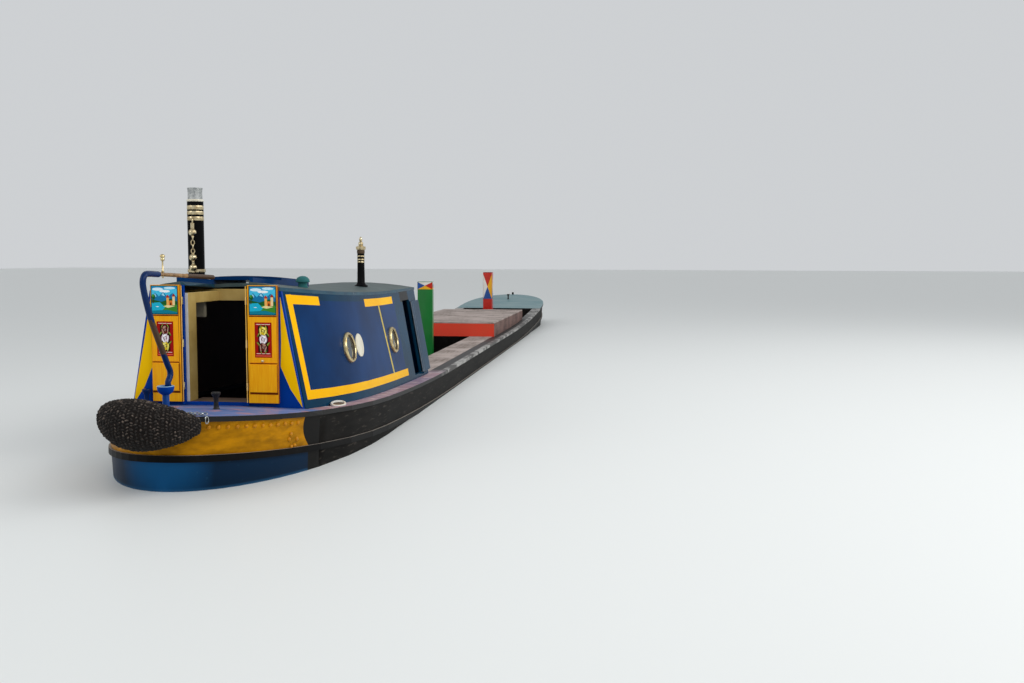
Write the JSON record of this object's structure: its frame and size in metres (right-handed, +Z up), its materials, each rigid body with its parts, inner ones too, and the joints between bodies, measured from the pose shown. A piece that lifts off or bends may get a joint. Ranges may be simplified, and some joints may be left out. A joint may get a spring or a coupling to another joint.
{
  "type": "working motor narrowboat",
  "caption": "Long narrow steel canal cargo boat with aft cabin, doors, sliding hatch, swan-neck tiller, rudder, propeller and open hold with raised fore deck",
  "frame": {"origin": "under the middle of the hull's length, on the underside of the flat bottom", "axes": "+X forward to the bow, +Y to port, +Z up"},
  "size_m": [22.0392, 2.13, 3.26],
  "materials": {
    "hull_black": "worn satin black",
    "stern_yellow": "gloss paint",
    "boat_blue": "high gloss paint",
    "deck_pink": "worn paint",
    "deck_blue": "worn satin paint",
    "roof_grey": "satin paint",
    "vent_teal": "gloss paint",
    "scumble": "combed graining under gloss varnish",
    "plank": "bare weathered boards",
    "red_board": "painted",
    "green_board": "painted",
    "brass": "polished",
    "bronze": "cast, dull",
    "rope": "woven rope",
    "engine_green": "painted"
  },
  "bodies": {
    "hull": {"aft_bulkhead": "boat_blue", "bottom_plate": "hull_black", "bow_fender": "rope", "bow_plates_port": "hull_black", "bow_plates_starboard": "hull_black", "bow_stud": "hull_black", "box_mast": "red_board", "cabin_roof": "roof_grey", "cabin_side_port": "boat_blue", "cabin_side_starboard": "boat_blue", "cabin_step": "plank", "chimney": "hull_black", "counter": "stern_yellow", "counter_deck": "deck_blue", "dolly_port": "hull_black", "dolly_starboard": "hull_black", "engine": "engine_green", "engine_bulkhead": "boat_blue", "exhaust_stack": "hull_black", "fore_bulkhead": "hull_black", "foredeck": "deck_blue", "guard_port": "hull_black", "guard_starboard": "hull_black", "gunwale_port": "deck_pink", "gunwale_starboard": "deck_pink", "hatch_runner_port": "boat_blue", "hatch_runner_starboard": "boat_blue", "hold_floor": "plank", "mushroom_vent": "vent_teal", "plank_stand": "green_board", "porthole_port_1": "brass", "porthole_port_2": "brass", "porthole_starboard_1": "brass", "porthole_starboard_2": "brass", "quarter_plates_port": "hull_black", "quarter_plates_starboard": "hull_black", "raised_coaming": "red_board", "raised_deck": "plank", "side_deck_port": "plank", "side_deck_starboard": "plank", "side_plates_port": "hull_black", "side_plates_starboard": "hull_black", "skeg": "hull_black", "stem_post": "hull_black", "stern_fender": "rope", "swim_plates_port": "hull_black", "swim_plates_starboard": "hull_black", "uxter_plate": "hull_black"},
    "rudder": {"rudder": "hull_black", "rams_head": "boat_blue", "swan_neck": "boat_blue", "tiller_bar": "brass"},
    "propeller": {"propeller": "bronze"},
    "door_starboard": {"door_starboard": "scumble"},
    "door_port": {"door_port": "scumble"},
    "engine_door_starboard": {"engine_door_starboard": "boat_blue"},
    "engine_door_port": {"engine_door_port": "boat_blue"},
    "hatch": {"hatch": "boat_blue"}
  },
  "joints": [
    {"name": "rudder_steer", "type": "hinge", "parent": "hull", "child": "rudder", "pos_m": [-10.42, 0, 0.8], "axis": [0, 0, 1], "range_deg": [-38, 38]},
    {"name": "propeller_spin", "type": "hinge", "parent": "hull", "child": "propeller", "pos_m": [-9.94, 0, 0.37], "axis": [1, 0, 0], "continuous": true},
    {"name": "door_starboard_swing", "type": "hinge", "parent": "hull", "child": "door_starboard", "pos_m": [-9.545, -0.272, 1.467], "axis": [0, 0, -1], "range_deg": [0, 180]},
    {"name": "door_port_swing", "type": "hinge", "parent": "hull", "child": "door_port", "pos_m": [-9.545, 0.272, 1.467], "axis": [0, 0, 1], "range_deg": [0, 180]},
    {"name": "engine_door_starboard_swing", "type": "hinge", "parent": "hull", "child": "engine_door_starboard", "pos_m": [-5.71992, -0.92058, 1.30742], "axis": [0, -0.176, -0.9844], "range_deg": [0, 180]},
    {"name": "engine_door_port_swing", "type": "hinge", "parent": "hull", "child": "engine_door_port", "pos_m": [-5.71992, 0.92058, 1.30742], "axis": [0, -0.176, 0.9844], "range_deg": [0, 180]},
    {"name": "hatch_slide", "type": "slide", "parent": "hull", "child": "hatch", "axis": [0.9985, 0, -0.0547], "range_m": [-0.66, 0]}
  ]
}
